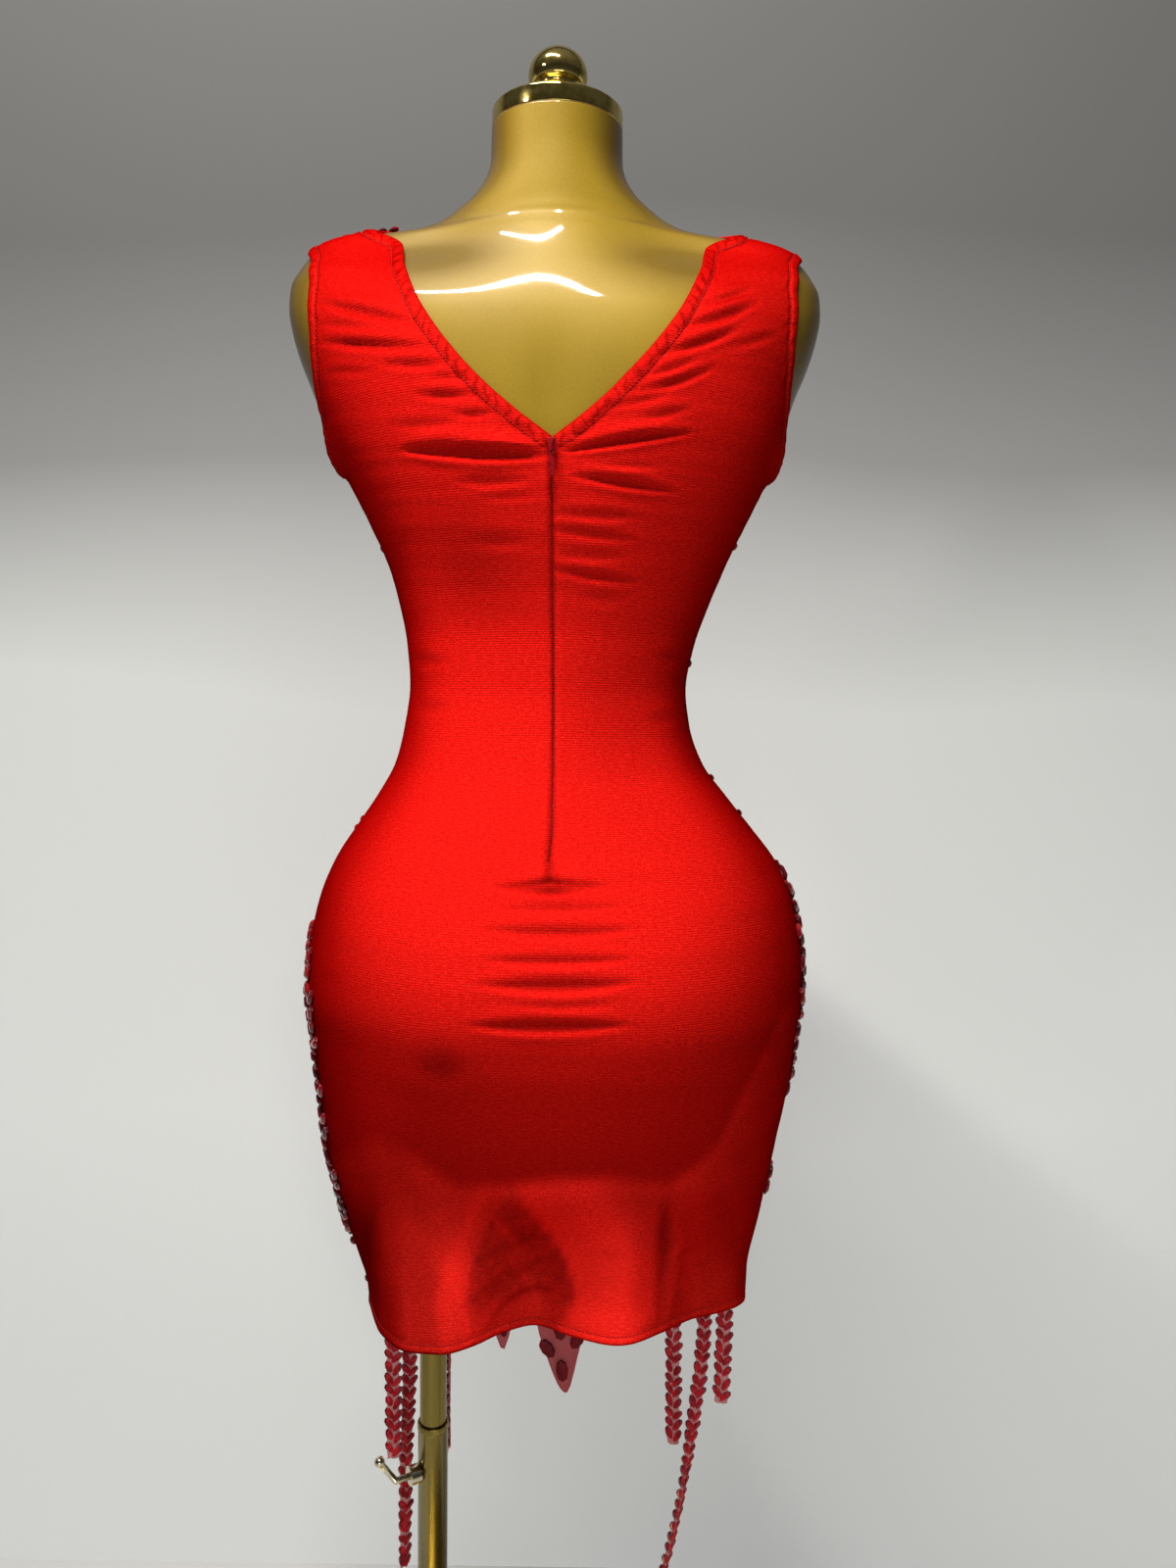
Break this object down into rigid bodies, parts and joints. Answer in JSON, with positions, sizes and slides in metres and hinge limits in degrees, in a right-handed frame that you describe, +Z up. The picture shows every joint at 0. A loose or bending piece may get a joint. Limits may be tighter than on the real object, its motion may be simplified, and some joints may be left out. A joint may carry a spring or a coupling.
{
  "type": "mesh dress on a limbless torso form with a telescoping stand",
  "caption": "Sleeveless fitted mini dress with a plain jersey back, centre-back zip, stone-set mesh front and hanging strips, worn by a glossy limbless torso form on a telescoping stand.",
  "frame": {"origin": "centre of the base plate's flat underside, on the floor", "axes": "+Z up through the form; -Y is the dress's back, with the zip; +Y is its front; +X is the wearer's right side"},
  "size_m": [0.3937, 0.38, 1.5313],
  "materials": {
    "jersey": "satin",
    "mesh": "matte",
    "stones": "gloss",
    "zip_tape": "satin",
    "zip_pull": "gloss",
    "form_gold": "gloss",
    "polished_gold": "polished",
    "stand_metal": "polished"
  },
  "bodies": {
    "stand": {"base_plate": "stand_metal", "outer_tube": "stand_metal", "clamp_boss": "stand_metal"},
    "form": {"inner_tube": "stand_metal", "form_torso": "form_gold", "neck_cap": "polished_gold", "finial": "polished_gold", "back_panel": "jersey", "front_panel": "mesh", "zip_tape": "zip_tape", "zip_slider": "zip_pull", "strip_left_outer": "stones", "strip_left_inner": "stones", "strip_left_back": "stones", "strip_right_inner": "stones", "strip_right_middle": "stones", "strip_right_outer": "stones"},
    "clamp": {"clamp_handle": "stand_metal"},
    "pull": {"zip_pull": "zip_pull"}
  },
  "joints": [
    {"name": "height", "type": "slide", "parent": "stand", "child": "form", "axis": [0, 0, 1], "range_m": [-0.1, 0.15]},
    {"name": "clamp_turn", "type": "hinge", "parent": "stand", "child": "clamp", "pos_m": [-0.0875, 0, 0.433], "axis": [-0.866, -0.5, 0], "range_deg": [0, 360]},
    {"name": "pull_swing", "type": "hinge", "parent": "form", "child": "pull", "pos_m": [0.0025, -0.09772, 1.22762], "axis": [-1, 0, 0], "range_deg": [0, 110]}
  ]
}
